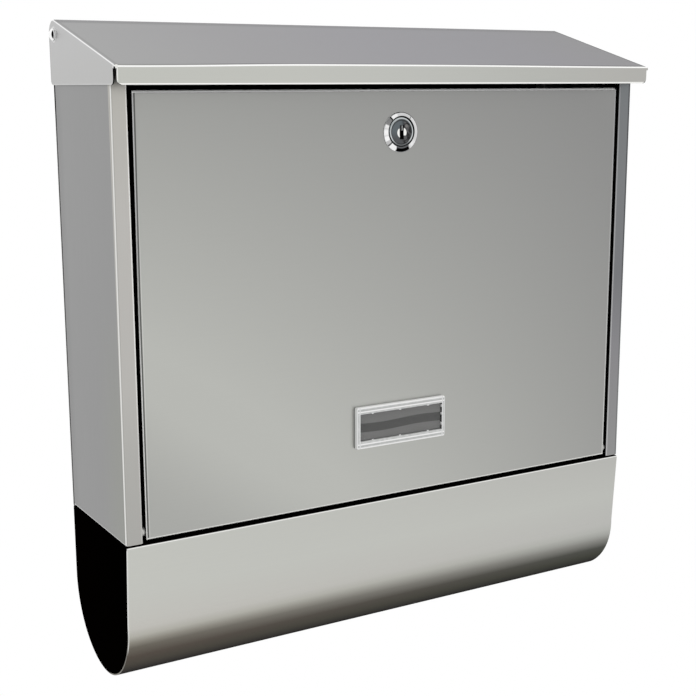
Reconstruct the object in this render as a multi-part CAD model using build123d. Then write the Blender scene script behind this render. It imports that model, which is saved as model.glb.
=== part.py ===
from build123d import *
from math import cos, radians, sin, tan
import os

# A wall mailbox in folded stainless sheet: a letter box with a hinged rain lid and a locking front door,
# over an open-ended newspaper tube. Millimetres; X to the right, Y into the wall, Z up; the origin is the
# middle of the four wall screw holes, on the wall's plane.

# Driving sizes of the whole box
BODY_WIDTH = 366.0  # across the side walls
BODY_DEPTH = 92.0  # wall plane to the front face
FLOOR_TO_HOLES = 140.0  # side walls' lower edge up to the middle of the screw holes
FOLD_HEIGHT = 267.0  # the same edge up to the lid's front fold
LID_OVERHANG = 13.0  # front face to the face of the lid's lip
LID_SLOPE = 15.5  # degrees
LIP_HEIGHT = 10.4  # lid's front lip, fold to lower edge
TUBE_DEPTH = 92.0  # newspaper tube, top to bottom

# Sheet and bends
SHEET = 0.8
BEND = 1.6  # outer radius of a fold
LID_BEND = 1.2
SEAM = 1.0  # open corner seams between two flanges
FIT = 0.05  # radial running clearance of a pin in its hole
GAP = 0.3  # clearance between pieces that move past each other

# Wall fixing
HOLE_SPACING_X = 280.0
HOLE_SPACING_Z = 190.0
WALL_HOLE = 6.0

# Side walls
REAR_FLANGE = 14.0
FRONT_FLANGE = 10.0
STOP_WIDTH = 6.0  # inner flange that the door closes against

# Door
DOOR_SIDE_GAP = 2.4
DOOR_TOP_GAP = 2.8
DOOR_BOTTOM_GAP = 2.3
DOOR_FLANGE = 12.0
DOOR_CORNER = 5.0
DOOR_PAD = 1.7  # thickness of the pads on the stop flanges
DOOR_PAD_SIZE = 8.0
HINGE_RISE = 4.4  # door's lower edge up to the hinge pins
HINGE_INSET = 4.6  # door's face back to the hinge pins
HINGE_PIN = 4.0
HINGE_HEAD = 5.8
HINGE_HEAD_LENGTH = 1.8
HINGE_SHOULDER = 5.2  # collar on the pin, between the lip and the door
CLIP_WIDTH = 1.1
CLIP_THICKNESS = 0.7

# Floor tray and newspaper tube
TUBE_GAP = 1.0  # below the side walls
BOWL_FRONT = 44.0  # radius of the tube's front arc; the rear arc is wider and meets it at the bottom
TUBE_FRONT_FLANGE = 24.0
TUBE_REAR_FLANGE = 16.0
TRAY_RIM = 10.0
DRAIN_HOLE = 5.0
DRAIN_INSET = 14.0
RIVET = 3.2
RIVET_HEAD = 6.4
RIVET_HEAD_HEIGHT = 1.1
RIVET_TAIL = 4.8
RIVET_PITCH = 260.0
RIVETS_PER_ROW = 2

# Top rail
RAIL_DEPTH = 14.0
RAIL_RISE = 0.5  # rail's lower edge above the lid lip's
LID_PAD_HEIGHT = 2.0
LID_PAD = 9.0
LID_PAD_SPACING = 260.0

# Lid and its pivots
LID_SIDE_GAP = 1.2
LID_REAR_GAP = 1.6
LID_CORNER = 8.0  # cheek's rear corner, round about the pivot
ROOF_OVERRUN = 2.6  # how far the lid's top sheet runs on past the pivots
SIDE_CORNER = 14.0  # side wall's rear top corner, inside the swing of the lid's top sheet
LIP_CORNER = 3.0
EDGE_CLEARANCE = 1.0  # under the lid, above the side walls
PIVOT_PIN = 4.0
PIVOT_HEAD = 6.8
PIVOT_HEAD_HEIGHT = 1.7
PIVOT_TAIL = 1.5
PIVOT_TAIL_WIDTH = 6.0
PIVOT_WASHER = 7.2
PIVOT_WASHER_THICKNESS = 0.5
BACK_UNDER_LID = 5.0  # back panel's top edge below the lid's rear edge line

# Cam lock
LOCK_DROP = 25.6  # below the door's top edge
BEZEL = 24.0
BEZEL_HEIGHT = 3.4
BEZEL_GROOVE = 17.8
COLLAR = 16.5
GROOVE_DEPTH = 1.3
BARREL = 18.7
BARREL_FLATS = 16.0
PLUG_FACE = 14.5
PLUG_FACE_DEPTH = 0.7
PLUG_FACE_THICKNESS = 1.8
PLUG = 11.8
KEYWAY_WIDTH = 2.2
KEYWAY_HEIGHT = 8.2
KEY_DISH = 6.4
KEY_DISH_DEPTH = 0.9
WAFERS = 5
WAFER_THICKNESS = 1.0
WAFER_PITCH = 2.0
WAFER_WIDTH = 5.6
WAFER_WALL = 1.1
NUT_FLATS = 24.0
NUT_THICKNESS = 4.0
LOCK_WASHER = 25.0
LOCK_WASHER_THICKNESS = 0.8
WASHER_TEETH = 6
CAM_GAP = 0.8  # behind the rail
CAM_THICKNESS = 2.0
CAM_WIDTH = 13.0
CAM_TIP = 10.0
CAM_CATCH = 7.0  # how far the cam reaches up behind the rail
CAM_SQUARE = 7.0
CAM_SCREW = 4.0
CAM_SCREW_HEAD = 8.0
CAM_SCREW_HEAD_HEIGHT = 2.2
CAM_SCREW_LENGTH = 7.0
CAM_WASHER = 9.4
CAM_WASHER_THICKNESS = 0.8

# Name plate
PLATE_WIDTH = 65.6
PLATE_HEIGHT = 26.4
PLATE_RISE = 47.3  # door's lower edge up to the plate's middle
PLATE_PROUD = 3.2
PLATE_CORNER = 2.6
PLATE_BEVEL = 1.6
PLATE_RIM = 4.0  # clear border round the card
PLATE_WINDOW = 1.4
PLATE_STEP = 0.6  # the window lies this far behind its border
PLATE_SKIRT = 1.0
PLATE_REACH = 2.4  # skirt's length behind the door's sheet
PLATE_PLAY = 0.2
CARD_THICKNESS = 0.4
CLIP_PLATE_THICKNESS = 1.2
FINGER_HOLE = 9.0

# Places that follow from the sizes above
HALF = BODY_WIDTH / 2
FRONT = -BODY_DEPTH
FLOOR = -FLOOR_TO_HOLES
LID_REACH = BODY_DEPTH + LID_OVERHANG
SLOPE = radians(LID_SLOPE)
FOLD_Z = FLOOR + FOLD_HEIGHT
LIP_BOTTOM = FOLD_Z - LIP_HEIGHT
TUBE_TOP = FLOOR - TUBE_GAP
TUBE_BOTTOM = TUBE_TOP - TUBE_DEPTH
BOWL_REAR = BODY_DEPTH - BOWL_FRONT
INSIDE = BEND - SHEET  # inner radius of a fold

DOOR_HALF = HALF - FRONT_FLANGE - DOOR_SIDE_GAP
DOOR_TOP = LIP_BOTTOM - DOOR_TOP_GAP
DOOR_BOTTOM = TUBE_TOP + DOOR_BOTTOM_GAP
LIP_INNER = HALF - FRONT_FLANGE  # face of the side wall's return lip
STOP_FACE = FRONT + DOOR_FLANGE + DOOR_PAD + GAP
HINGE_Y = FRONT + HINGE_INSET
HINGE_Z = DOOR_BOTTOM + HINGE_RISE

LID_HALF = HALF + LID_SIDE_GAP + SHEET
LIP_FACE = -LID_REACH
PIVOT_Y = -LID_REAR_GAP - LID_CORNER

RAIL_FRONT = FRONT + SHEET
RAIL_BACK = RAIL_FRONT + RAIL_DEPTH
RAIL_BOTTOM = LIP_BOTTOM + RAIL_RISE

LOCK_Z = DOOR_TOP - LOCK_DROP
CAM_FACE = RAIL_BACK + CAM_GAP
BARREL_END = CAM_FACE - GAP
CAM_BACK = CAM_FACE + CAM_THICKNESS
PLUG_FACE_Y = FRONT - BEZEL_HEIGHT + PLUG_FACE_DEPTH
PLATE_Z = DOOR_BOTTOM + PLATE_RISE
PLATE_FACE = FRONT - PLATE_PROUD


def roof(y, under=0.0):
    """Height at y of the plane that lies this far under the lid's outer face."""
    return FOLD_Z + (y - LIP_FACE) * tan(SLOPE) - under / cos(SLOPE)


PIVOT_Z = roof(PIVOT_Y, LID_CORNER)
RAIL_TOP = roof(RAIL_FRONT, SHEET) - GAP - LID_PAD_HEIGHT


def block(x0, x1, y0, y1, z0, z1):
    """A box between two corners."""
    middle = ((x0 + x1) / 2, (y0 + y1) / 2, (z0 + z1) / 2)
    return Pos(*middle) * Box(abs(x1 - x0), abs(y1 - y0), abs(z1 - z0))


def rod(axis, radius, start, end, u, v):
    """A cylinder along X, Y or Z; u and v place it on the other two axes, in X, Y, Z order."""
    middle, length = (start + end) / 2, abs(end - start)
    if axis == "X":
        return Pos(middle, u, v) * Rot(0, 90, 0) * Cylinder(radius, length)
    if axis == "Y":
        return Pos(u, middle, v) * Rot(90, 0, 0) * Cylinder(radius, length)
    return Pos(u, v, middle) * Cylinder(radius, length)


def ring(axis, outer, inner, start, end, u, v):
    """A washer or sleeve along an axis."""
    return rod(axis, outer, start, end, u, v) - rod(axis, inner, start, end, u, v)


def across(outline, half):
    """Extrudes a side view, drawn as (y, z), to both sides of the middle."""
    return extrude(Plane.YZ * outline, amount=half, both=True)


def turned(outline, z):
    """Revolves an outline, drawn as (radius, y), about a line along Y at height z."""
    return Pos(0, 0, z) * revolve(make_face(Polyline(*outline, close=True)), Axis.Y)


def bent(path, side):
    """The cross-section of a sheet whose outer or inner face follows the path."""
    return make_face(offset(path, amount=SHEET, side=side))


def pair(solid):
    """A right-hand piece with its mirror image on the left."""
    return Compound(children=[*solid.solids(), *mirror(solid, Plane.YZ).solids()])


def group(solids):
    """Like pieces that share one name."""
    return Compound(children=[s for item in solids for s in item.solids()])


# The box


def back_panel():
    """Flat sheet against the wall, with the four screw holes."""
    top = roof(-LID_REAR_GAP) - BACK_UNDER_LID
    panel = block(-HALF, HALF, -SHEET, 0, TUBE_TOP, top)
    holes = GridLocations(HOLE_SPACING_X, HOLE_SPACING_Z, 2, 2)
    for place in holes.locations:
        x, z = place.position.X, place.position.Y
        panel -= rod("Y", WALL_HOLE / 2, -SHEET, 0, x, z)
    return panel


def side_outline():
    """Side view of a side wall: level foot, sloping top, and a rear corner clear of the lid's travel."""
    under = SHEET + EDGE_CLEARANCE
    rear = -SHEET
    points = [(rear, FLOOR), (FRONT, FLOOR), (FRONT, roof(FRONT, under)), (rear, roof(rear, under))]
    outline = make_face(Polyline(*points, close=True))
    corner = outline.vertices().sort_by(Axis.Y)[-1]
    return fillet(corner, SIDE_CORNER)


def side_panel():
    """Right side wall, folded in plan: rear flange, wall, front flange, return lip and door stop."""
    plan = FilletPolyline(
        (HALF - REAR_FLANGE, -SHEET),
        (HALF, -SHEET),
        (HALF, FRONT),
        (LIP_INNER, FRONT),
        (LIP_INNER, STOP_FACE),
        (LIP_INNER - STOP_WIDTH, STOP_FACE),
        radius=[BEND, BEND, BEND, INSIDE],
    )
    wall = extrude(Pos(0, 0, FLOOR) * bent(plan, Side.RIGHT), amount=roof(0) - FLOOR)
    wall &= across(side_outline(), LID_HALF)
    # The lip and stop end under the rail, and the rear flange ends under the lid's round corner.
    inner_edge = HALF - SHEET - INSIDE
    wall -= block(0, inner_edge, FRONT + SHEET, STOP_FACE + 2 * SHEET, RAIL_BOTTOM - GAP, roof(0))
    wall -= block(0, inner_edge, -2 * SHEET, 0, PIVOT_Z - LID_CORNER - GAP, roof(0))
    wall -= rod("X", HINGE_PIN / 2, LIP_INNER, LIP_INNER + SHEET, HINGE_Y, HINGE_Z)
    wall -= rod("X", PIVOT_PIN / 2, HALF - SHEET, HALF, PIVOT_Y, PIVOT_Z)
    return wall


def rivet_places():
    """Where the tray is riveted to the tube's two flanges."""
    front = STOP_FACE + SHEET + GAP + RIVET_HEAD
    rear = -TUBE_REAR_FLANGE + RIVET_HEAD
    first = -RIVET_PITCH * (RIVETS_PER_ROW - 1) / 2
    columns = [first + RIVET_PITCH * n for n in range(RIVETS_PER_ROW)]
    return [(x, y) for x in columns for y in (front, rear)]


def floor_tray():
    """Floor of the letter box, turned up on all four sides, with drain holes."""
    half = HALF - SHEET
    front, rear = STOP_FACE + SHEET + GAP, -2 * SHEET
    outer = block(-half, half, front, rear, TUBE_TOP, TUBE_TOP + TRAY_RIM)
    outer = fillet(outer.faces().sort_by(Axis.Z)[0].edges(), BEND)
    hollow = block(
        -half + SHEET, half - SHEET, front + SHEET, rear - SHEET, TUBE_TOP + SHEET, TUBE_TOP + 2 * TRAY_RIM
    )
    hollow = fillet(hollow.faces().sort_by(Axis.Z)[0].edges(), INSIDE)
    tray = outer - hollow
    for x in (-half, half):
        for y in (front, rear):
            tray -= Pos(x, y, TUBE_TOP) * Box(2 * BEND, 2 * BEND, 3 * TRAY_RIM)
    for x in (-half + DRAIN_INSET, half - DRAIN_INSET):
        tray -= rod("Z", DRAIN_HOLE / 2, TUBE_TOP, TUBE_TOP + SHEET, x, front + DRAIN_INSET)
    for x, y in rivet_places():
        tray -= rod("Z", RIVET / 2, TUBE_TOP, TUBE_TOP + SHEET, x, y)
    return tray


def newspaper_tube():
    """One sheet: rear flange, rear wall, bowl of two arcs, front wall, front flange; open at both ends."""
    rear_z = TUBE_BOTTOM + BOWL_REAR
    front_z = TUBE_BOTTOM + BOWL_FRONT
    rear = FilletPolyline((-TUBE_REAR_FLANGE, TUBE_TOP), (0, TUBE_TOP), (0, rear_z), radius=BEND)
    rear_arc = CenterArc((-BOWL_REAR, rear_z), BOWL_REAR, 0, -90)
    front_arc = CenterArc((-BOWL_REAR, front_z), BOWL_FRONT, -90, -90)
    flange_end = (FRONT + TUBE_FRONT_FLANGE, TUBE_TOP)
    front = FilletPolyline((FRONT, front_z), (FRONT, TUBE_TOP), flange_end, radius=BEND)
    path = Wire([*rear.edges(), rear_arc, front_arc, *front.edges()])
    tube = across(bent(path, Side.RIGHT), HALF)
    for x, y in rivet_places():
        tube -= rod("Z", RIVET / 2, TUBE_TOP - SHEET, TUBE_TOP, x, y)
    return tube


def dome(axis, radius, height, start, away, u, v):
    """A rivet's round head on the plane at start, bulging away (1 or -1) along the axis."""
    arc = TangentArc((0, height), (radius, 0), tangent=(1, 0))
    outline = make_face([Line((0, 0), (radius, 0)), arc, Line((0, height), (0, 0))])
    head = revolve(Plane.XZ * outline, Axis.Z)
    at = {"X": (start, u, v), "Y": (u, start, v), "Z": (u, v, start)}[axis]
    turn = {"X": (0, 90 * away, 0), "Y": (-90 * away, 0, 0), "Z": (90 - 90 * away, 0, 0)}[axis]
    return Pos(*at) * Rot(*turn) * head


def button(axis, radius, height, start, away, u, v):
    """A low bevelled head on the plane at start, standing away (1 or -1) along the axis."""
    middle = start + away * height / 2
    at = {"X": (middle, u, v), "Y": (u, middle, v), "Z": (u, v, middle)}[axis]
    turn = {"X": (0, 90 * away, 0), "Y": (-90 * away, 0, 0), "Z": (90 - 90 * away, 0, 0)}[axis]
    return Pos(*at) * Rot(*turn) * Cone(radius, radius - height / 2, height)


def tube_rivets():
    """Blind rivets through the tray and the tube's flanges, heads inside the box."""
    top, foot = TUBE_TOP + SHEET, TUBE_TOP - SHEET
    rivets = []
    for x, y in rivet_places():
        shank = rod("Z", RIVET / 2, foot, top, x, y)
        head = button("Z", RIVET_HEAD / 2, RIVET_HEAD_HEIGHT, top, 1, x, y)
        tail = button("Z", RIVET_TAIL / 2, RIVET_HEAD_HEIGHT, foot, -1, x, y)
        rivets.append(shank + head + tail)
    return group(rivets)


def top_rail():
    """Inverted channel across the top of the door opening; the cam turns up behind it."""
    path = FilletPolyline(
        (RAIL_FRONT, RAIL_BOTTOM),
        (RAIL_FRONT, RAIL_TOP),
        (RAIL_BACK, RAIL_TOP),
        (RAIL_BACK, RAIL_BOTTOM),
        radius=BEND,
    )
    return across(bent(path, Side.RIGHT), HALF - BEND)


def lid_pads():
    """Two soft pads on the rail that the lid rests on."""
    y = RAIL_FRONT + BEND + LID_PAD / 2
    top = roof(y - LID_PAD / 2, SHEET) - GAP
    return pair(button("Z", LID_PAD / 2, top - RAIL_TOP, RAIL_TOP, 1, LID_PAD_SPACING / 2, y))


def door_pads():
    """Soft pads on the stop flanges, near the door's top corners."""
    x = LIP_INNER - DOOR_PAD_SIZE / 2
    z = DOOR_TOP - 2 * DOOR_PAD_SIZE
    half = DOOR_PAD_SIZE / 4
    right = block(x - half, x + half, STOP_FACE - DOOR_PAD, STOP_FACE, z, z + DOOR_PAD_SIZE)
    return pair(chamfer(right.edges().filter_by(Axis.Y), half / 2))


def hinge_pins():
    """Headed pins fixed in the side walls' return lips; a shoulder keeps the door off the lips."""
    inner = DOOR_HALF - SHEET - GAP - 2 * CLIP_THICKNESS
    lip_back = LIP_INNER + SHEET
    shank = rod("X", HINGE_PIN / 2, inner, lip_back, HINGE_Y, HINGE_Z)
    head = rod("X", HINGE_HEAD / 2, lip_back, lip_back + HINGE_HEAD_LENGTH, HINGE_Y, HINGE_Z)
    shoulder = rod("X", HINGE_SHOULDER / 2, DOOR_HALF + GAP, LIP_INNER, HINGE_Y, HINGE_Z)
    return pair(shank + head + shoulder)


def hinge_clips():
    """Push-on rings that keep the door's flanges on the pins."""
    outer_face = DOOR_HALF - SHEET - GAP
    radius = HINGE_PIN / 2
    clip = ring("X", radius + CLIP_WIDTH, radius, outer_face - CLIP_THICKNESS, outer_face, HINGE_Y, HINGE_Z)
    return pair(clip)


def pivot_stack():
    """Distances out from the middle of the faces that the lid's pivot rivet holds together."""
    cheek_outer = LID_HALF
    washer = cheek_outer + GAP
    return {"wall": HALF, "spacer": HALF + LID_SIDE_GAP - GAP, "washer": washer,
            "head": washer + PIVOT_WASHER_THICKNESS}


def pivot_rivets():
    """Dome-headed rivets through the side walls that the lid's cheeks turn on."""
    inner = HALF - SHEET
    head = pivot_stack()["head"]
    shank = rod("X", PIVOT_PIN / 2, inner, head, PIVOT_Y, PIVOT_Z)
    tail = button("X", PIVOT_TAIL_WIDTH / 2, PIVOT_TAIL, inner, -1, PIVOT_Y, PIVOT_Z)
    return pair(shank + tail + dome("X", PIVOT_HEAD / 2, PIVOT_HEAD_HEIGHT, head, 1, PIVOT_Y, PIVOT_Z))


def pivot_washers():
    """Washers under the rivets' heads."""
    stack = pivot_stack()
    washer = ring("X", PIVOT_WASHER / 2, PIVOT_PIN / 2, stack["washer"], stack["head"], PIVOT_Y, PIVOT_Z)
    return pair(washer)


def pivot_spacers():
    """Nylon rings that keep the cheeks off the side walls."""
    stack = pivot_stack()
    spacer = ring("X", PIVOT_WASHER / 2, PIVOT_PIN / 2, stack["wall"], stack["spacer"], PIVOT_Y, PIVOT_Z)
    return pair(spacer)


# The lid


def wedge(inset, below):
    """The lid's outer form, or its hollow when inset by the sheet, open past its lower edge by below."""
    face, rear = LIP_FACE + inset, -LID_REAR_GAP
    bottom = LIP_BOTTOM - below
    points = [(rear, bottom), (face, bottom), (face, roof(face, inset)), (rear, roof(rear, inset))]
    solid = across(make_face(Polyline(*points, close=True)), LID_HALF - inset)
    top = solid.faces().sort_by(Axis.Z)[-1]
    folds = top.edges().sort_by(Axis.Y)[:-1]
    return fillet(folds, LID_BEND - inset)


def rain_lid():
    """Sloping lid with a front lip and side cheeks folded down, its front corners left as open seams."""
    lid = wedge(0, 0) - wedge(SHEET, LIP_HEIGHT)
    inner = LID_HALF - SHEET
    # The top sheet ends a little behind the pivots, and the cheeks are round about them.
    edge_y = PIVOT_Y - LID_CORNER * sin(SLOPE)
    lid -= block(-inner, inner, edge_y + ROOF_OVERRUN, 0, LIP_BOTTOM, roof(LID_REACH))
    corner = block(-LID_HALF, LID_HALF, PIVOT_Y, 0, PIVOT_Z, roof(0))
    tip = Polyline((PIVOT_Y, PIVOT_Z), (PIVOT_Y, roof(0)), (edge_y, roof(edge_y)), close=True)
    corner += across(make_face(tip), LID_HALF)
    corner -= rod("X", LID_CORNER, -LID_HALF, LID_HALF, PIVOT_Y, PIVOT_Z)
    lid -= corner - block(-inner + FIT, inner - FIT, edge_y - LID_CORNER, 0, PIVOT_Z, roof(0))
    # Open seams at the two front corners.
    seam = inner - SEAM
    seam_top = FOLD_Z - LID_BEND - SHEET
    for side in (-1, 1):
        lid -= block(side * seam, side * (LID_HALF + SHEET), LIP_FACE - SHEET, LIP_FACE + SHEET + SEAM / 2,
                     LIP_BOTTOM - SHEET, seam_top)
        lid -= rod("X", PIVOT_PIN / 2 + FIT, side * inner, side * LID_HALF, PIVOT_Y, PIVOT_Z)
    low = lid.edges().group_by(Axis.Z)[0]
    short = low.filter_by(lambda e: abs(e.length - SHEET) < SHEET / 4)
    return fillet(short, LIP_CORNER)


# The door


def barrel_section(clearance=0.0):
    """The lock barrel's round with two flats, in the door's plane."""
    flats = Rectangle(BARREL_FLATS + 2 * clearance, 2 * BARREL)
    return Circle(BARREL / 2 + clearance) & flats


def through_door(section, start, end, z):
    """Extrudes a section, drawn as (x, z), along Y at height z above the origin."""
    return extrude(Plane((0, end, z), x_dir=(1, 0, 0), z_dir=(0, -1, 0)) * section, amount=end - start)


def door_panel():
    """Front door: a pan with four flanges, and openings for the lock, the name plate and the hinge pins."""
    back = FRONT + DOOR_FLANGE
    outer = block(-DOOR_HALF, DOOR_HALF, FRONT, back, DOOR_BOTTOM, DOOR_TOP)
    outer = fillet(outer.faces().sort_by(Axis.Y)[0].edges(), BEND)
    half = DOOR_HALF - SHEET
    hollow = block(-half, half, FRONT + SHEET, back + DOOR_FLANGE, DOOR_BOTTOM + SHEET, DOOR_TOP - SHEET)
    hollow = fillet(hollow.faces().sort_by(Axis.Y)[0].edges(), INSIDE)
    door = outer - hollow
    # Corner reliefs between the flanges.
    for x in (-DOOR_HALF, DOOR_HALF):
        for z in (DOOR_BOTTOM, DOOR_TOP):
            door -= Pos(x, back + BEND, z) * Box(2 * BEND, 2 * DOOR_FLANGE, 2 * BEND)
    # The side flanges' lower rear corners are round, to swing clear.
    corners = door.edges().filter_by(Axis.X).filter_by(lambda e: abs(e.length - SHEET) < SHEET / 4)
    corners = corners.filter_by(lambda e: e.center().Y > back - SHEET and e.center().Z < HINGE_Z)
    door = fillet(corners, DOOR_CORNER)
    for side in (-1, 1):
        door -= rod("X", HINGE_PIN / 2 + FIT, side * half, side * DOOR_HALF, HINGE_Y, HINGE_Z)
    door -= through_door(barrel_section(FIT), FRONT, FRONT + SHEET, LOCK_Z)
    skirt = Rectangle(PLATE_WIDTH - 2 * PLATE_RIM + 2 * PLATE_SKIRT + PLATE_PLAY,
                      PLATE_HEIGHT - 2 * PLATE_RIM + 2 * PLATE_SKIRT + PLATE_PLAY)
    door -= through_door(skirt, FRONT, FRONT + SHEET, PLATE_Z)
    return door


def lock_housing():
    """Lock body: a round bezel with a groove and collar in front, and a barrel with two flats behind."""
    nose = FRONT - BEZEL_HEIGHT
    rim, groove, collar = BEZEL / 2, BEZEL_GROOVE / 2, COLLAR / 2
    face_bore, bore = PLUG_FACE / 2 + FIT, PLUG / 2 + FIT
    step = PLUG_FACE_Y + PLUG_FACE_THICKNESS + GAP
    crown = (rim + groove) / 2
    with BuildPart() as housing:
        with BuildSketch(Plane.XY):
            with BuildLine():
                Polyline((face_bore, step), (face_bore, nose), (collar, nose), (collar, nose + GROOVE_DEPTH))
                Polyline((collar, nose + GROOVE_DEPTH), (groove, nose + GROOVE_DEPTH), (groove, nose))
                Polyline((groove, nose), (crown, nose), (rim, nose + BEZEL_HEIGHT / 2), (rim, FRONT))
                Line((rim, FRONT), (BARREL / 2, FRONT))
                Line((BARREL / 2, FRONT), (BARREL / 2, BARREL_END))
                Polyline((BARREL / 2, BARREL_END), (bore, BARREL_END), (bore, step), (face_bore, step))
            make_face()
        revolve(axis=Axis.Y)
    body = Pos(0, 0, LOCK_Z) * housing.part
    for side in (-1, 1):
        flat = side * BARREL_FLATS / 2
        body -= block(flat, flat + side * BARREL, FRONT, BARREL_END, LOCK_Z - BARREL, LOCK_Z + BARREL)
    return body


def lock_washer():
    """Toothed washer between the door's sheet and the nut."""
    start = FRONT + SHEET
    end = start + LOCK_WASHER_THICKNESS
    washer = ring("Y", LOCK_WASHER / 2, BARREL / 2, start, end, 0, LOCK_Z)
    depth = (LOCK_WASHER - BARREL) / 4
    notch = Pos(LOCK_WASHER / 2, 0) * Rectangle(2 * depth, depth)
    for n in range(WASHER_TEETH):
        washer -= through_door(Rot(0, 0, 360 * n / WASHER_TEETH) * notch, start, end, LOCK_Z)
    return washer


def lock_nut():
    """Hexagon nut that clamps the lock to the door."""
    start = FRONT + SHEET + LOCK_WASHER_THICKNESS
    hexagon = RegularPolygon(NUT_FLATS / 2, 6, major_radius=False) - Circle(BARREL / 2)
    nut = through_door(hexagon, start, start + NUT_THICKNESS, LOCK_Z)
    bevel = NUT_FLATS / 2 / cos(radians(30))
    turned_down = turned([(0, start), (bevel, start), (bevel, start + NUT_THICKNESS - SHEET),
                          (NUT_FLATS / 2, start + NUT_THICKNESS), (0, start + NUT_THICKNESS)], LOCK_Z)
    return nut & turned_down


def wafer_places():
    """Where the wafers sit along the plug."""
    first = PLUG_FACE_Y + PLUG_FACE_THICKNESS + WAFER_PITCH
    return [first + n * WAFER_PITCH for n in range(WAFERS)]


def lock_plug():
    """The part that the key turns: face disc, slotted plug, and a square tenon for the cam."""
    step = PLUG_FACE_Y + PLUG_FACE_THICKNESS
    plug = rod("Y", PLUG_FACE / 2, PLUG_FACE_Y, step, 0, LOCK_Z)
    plug += rod("Y", PLUG / 2, step, CAM_FACE, 0, LOCK_Z)
    half = CAM_SQUARE / 2
    plug += block(-half, half, CAM_FACE, CAM_BACK, LOCK_Z - half, LOCK_Z + half)
    wide = KEY_DISH / 2
    plug -= turned([(0, PLUG_FACE_Y - GAP), (wide, PLUG_FACE_Y - GAP), (wide, PLUG_FACE_Y),
                    (wide / 2, PLUG_FACE_Y + KEY_DISH_DEPTH), (0, PLUG_FACE_Y + KEY_DISH_DEPTH)], LOCK_Z)
    last = wafer_places()[-1] + WAFER_THICKNESS
    key = KEYWAY_HEIGHT / 2
    side, end = KEYWAY_WIDTH / 2, last + WAFER_THICKNESS
    plug -= block(-side, side, PLUG_FACE_Y, end, LOCK_Z - key, LOCK_Z + key)
    slot = WAFER_WIDTH / 2 + FIT
    for y in wafer_places():
        plug -= block(-slot, slot, y - FIT, y + WAFER_THICKNESS + FIT, LOCK_Z - PLUG, LOCK_Z + PLUG)
    plug -= rod("Y", CAM_SCREW / 2, CAM_BACK + CAM_WASHER_THICKNESS - CAM_SCREW_LENGTH, CAM_BACK, 0, LOCK_Z)
    return plug


def lock_wafers():
    """Sprung wafers with a key window, in the plug's slots."""
    wafers = []
    half = WAFER_WIDTH / 2
    window = KEYWAY_WIDTH / 2 + FIT
    height = PLUG / 2 - WAFER_WALL
    for y in wafer_places():
        end = y + WAFER_THICKNESS
        wafer = rod("Y", PLUG / 2, y, end, 0, LOCK_Z)
        wafer &= block(-half, half, y, end, LOCK_Z - PLUG, LOCK_Z + PLUG)
        wafers.append(wafer - block(-window, window, y, end, LOCK_Z - height, LOCK_Z + height))
    return group(wafers)


def lock_cam():
    """Flat cam, pointing sideways when unlocked; a quarter turn puts its tip behind the rail."""
    reach = RAIL_BOTTOM + CAM_CATCH - LOCK_Z
    blade = make_hull(
        [*Circle(CAM_WIDTH / 2).edges(), *(Pos(reach - CAM_TIP / 2, 0) * Circle(CAM_TIP / 2)).edges()]
    )
    return through_door(blade - Rectangle(CAM_SQUARE, CAM_SQUARE), CAM_FACE, CAM_BACK, LOCK_Z)


def cam_washer():
    """Washer between the cam and its screw."""
    return ring("Y", CAM_WASHER / 2, CAM_SCREW / 2, CAM_BACK, CAM_BACK + CAM_WASHER_THICKNESS, 0, LOCK_Z)


def cam_screw():
    """Cross-head screw that holds the cam on the plug."""
    seat = CAM_BACK + CAM_WASHER_THICKNESS
    screw = rod("Y", CAM_SCREW / 2, seat - CAM_SCREW_LENGTH, seat, 0, LOCK_Z)
    screw += button("Y", CAM_SCREW_HEAD / 2, CAM_SCREW_HEAD_HEIGHT, seat, 1, 0, LOCK_Z)
    arm, slit = CAM_SCREW_HEAD / 4, CAM_SCREW_HEAD / 16
    end = seat + CAM_SCREW_HEAD_HEIGHT
    deep = end - CAM_SCREW_HEAD_HEIGHT / 2
    screw -= block(-arm, arm, deep, end, LOCK_Z - slit, LOCK_Z + slit)
    screw -= block(-slit, slit, deep, end, LOCK_Z - arm, LOCK_Z + arm)
    return screw


def plate_pocket(play=0.0):
    """The name plate's card pocket, or something that fits in it with some play."""
    return Rectangle(PLATE_WIDTH - 2 * PLATE_RIM - play, PLATE_HEIGHT - 2 * PLATE_RIM - play)


def name_window():
    """Clear moulding: a bevelled frame on the door's face, and a skirt that snaps through the sheet."""
    frame = block(-PLATE_WIDTH / 2, PLATE_WIDTH / 2, PLATE_FACE, FRONT,
                  PLATE_Z - PLATE_HEIGHT / 2, PLATE_Z + PLATE_HEIGHT / 2)
    frame = fillet(frame.edges().filter_by(Axis.Y), PLATE_CORNER)
    frame = chamfer(frame.faces().sort_by(Axis.Y)[0].edges(), PLATE_BEVEL)
    skirt_end = FRONT + SHEET + PLATE_REACH
    frame += through_door(plate_pocket(-2 * PLATE_SKIRT), FRONT, skirt_end, PLATE_Z)
    frame -= through_door(plate_pocket(), PLATE_FACE, PLATE_FACE + PLATE_STEP, PLATE_Z)
    frame -= through_door(plate_pocket(), PLATE_FACE + PLATE_WINDOW, skirt_end, PLATE_Z)
    # Snap barbs above and below, just behind the sheet.
    barb_half = PLATE_WIDTH / 8
    outer = PLATE_HEIGHT / 2 - PLATE_RIM + PLATE_SKIRT
    back = FRONT + SHEET
    for side in (-1, 1):
        z = PLATE_Z + side * outer
        tooth = make_face(Polyline((back, z), (back, z + side * PLATE_SKIRT), (skirt_end, z), close=True))
        frame += across(tooth, barb_half)
    return frame


def name_card():
    """Blank card behind the window."""
    start = PLATE_FACE + PLATE_WINDOW
    return through_door(plate_pocket(PLATE_PLAY), start, start + CARD_THICKNESS, PLATE_Z)


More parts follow.
